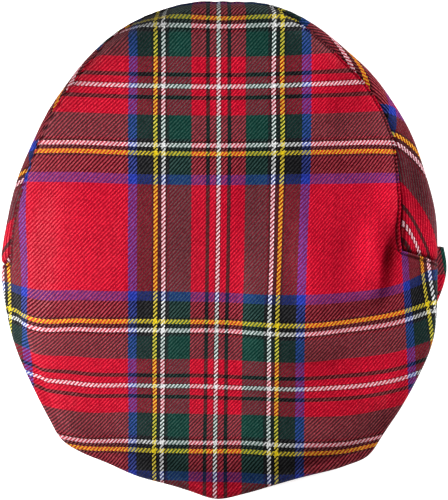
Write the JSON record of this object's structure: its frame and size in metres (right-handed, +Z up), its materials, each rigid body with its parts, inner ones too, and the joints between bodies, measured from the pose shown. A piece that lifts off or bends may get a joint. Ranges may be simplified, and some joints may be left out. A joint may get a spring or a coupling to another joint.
{
  "type": "flat cap",
  "caption": "Soft tartan flat cap: a rounded top panel runs down to the edge of a short cloth-covered peak, with back panels below a seam and an open hollow for the head.",
  "frame": {"origin": "on the resting surface, under the middle of the cap's box", "axes": "+Z up, -Y to the front of the peak, +Y to the back of the head, +X to the wearer's left"},
  "size_m": [0.2438, 0.2704, 0.075],
  "materials": {
    "tartan_cloth": "wool twill in a red tartan check of green, black, blue, yellow and white",
    "peak_cloth": "the same tartan twill over a stiff peak"
  },
  "bodies": {
    "root": {"crown_top": "tartan_cloth", "back_panel_left": "tartan_cloth", "back_panel_right": "tartan_cloth", "peak": "peak_cloth"}
  },
  "joints": []
}
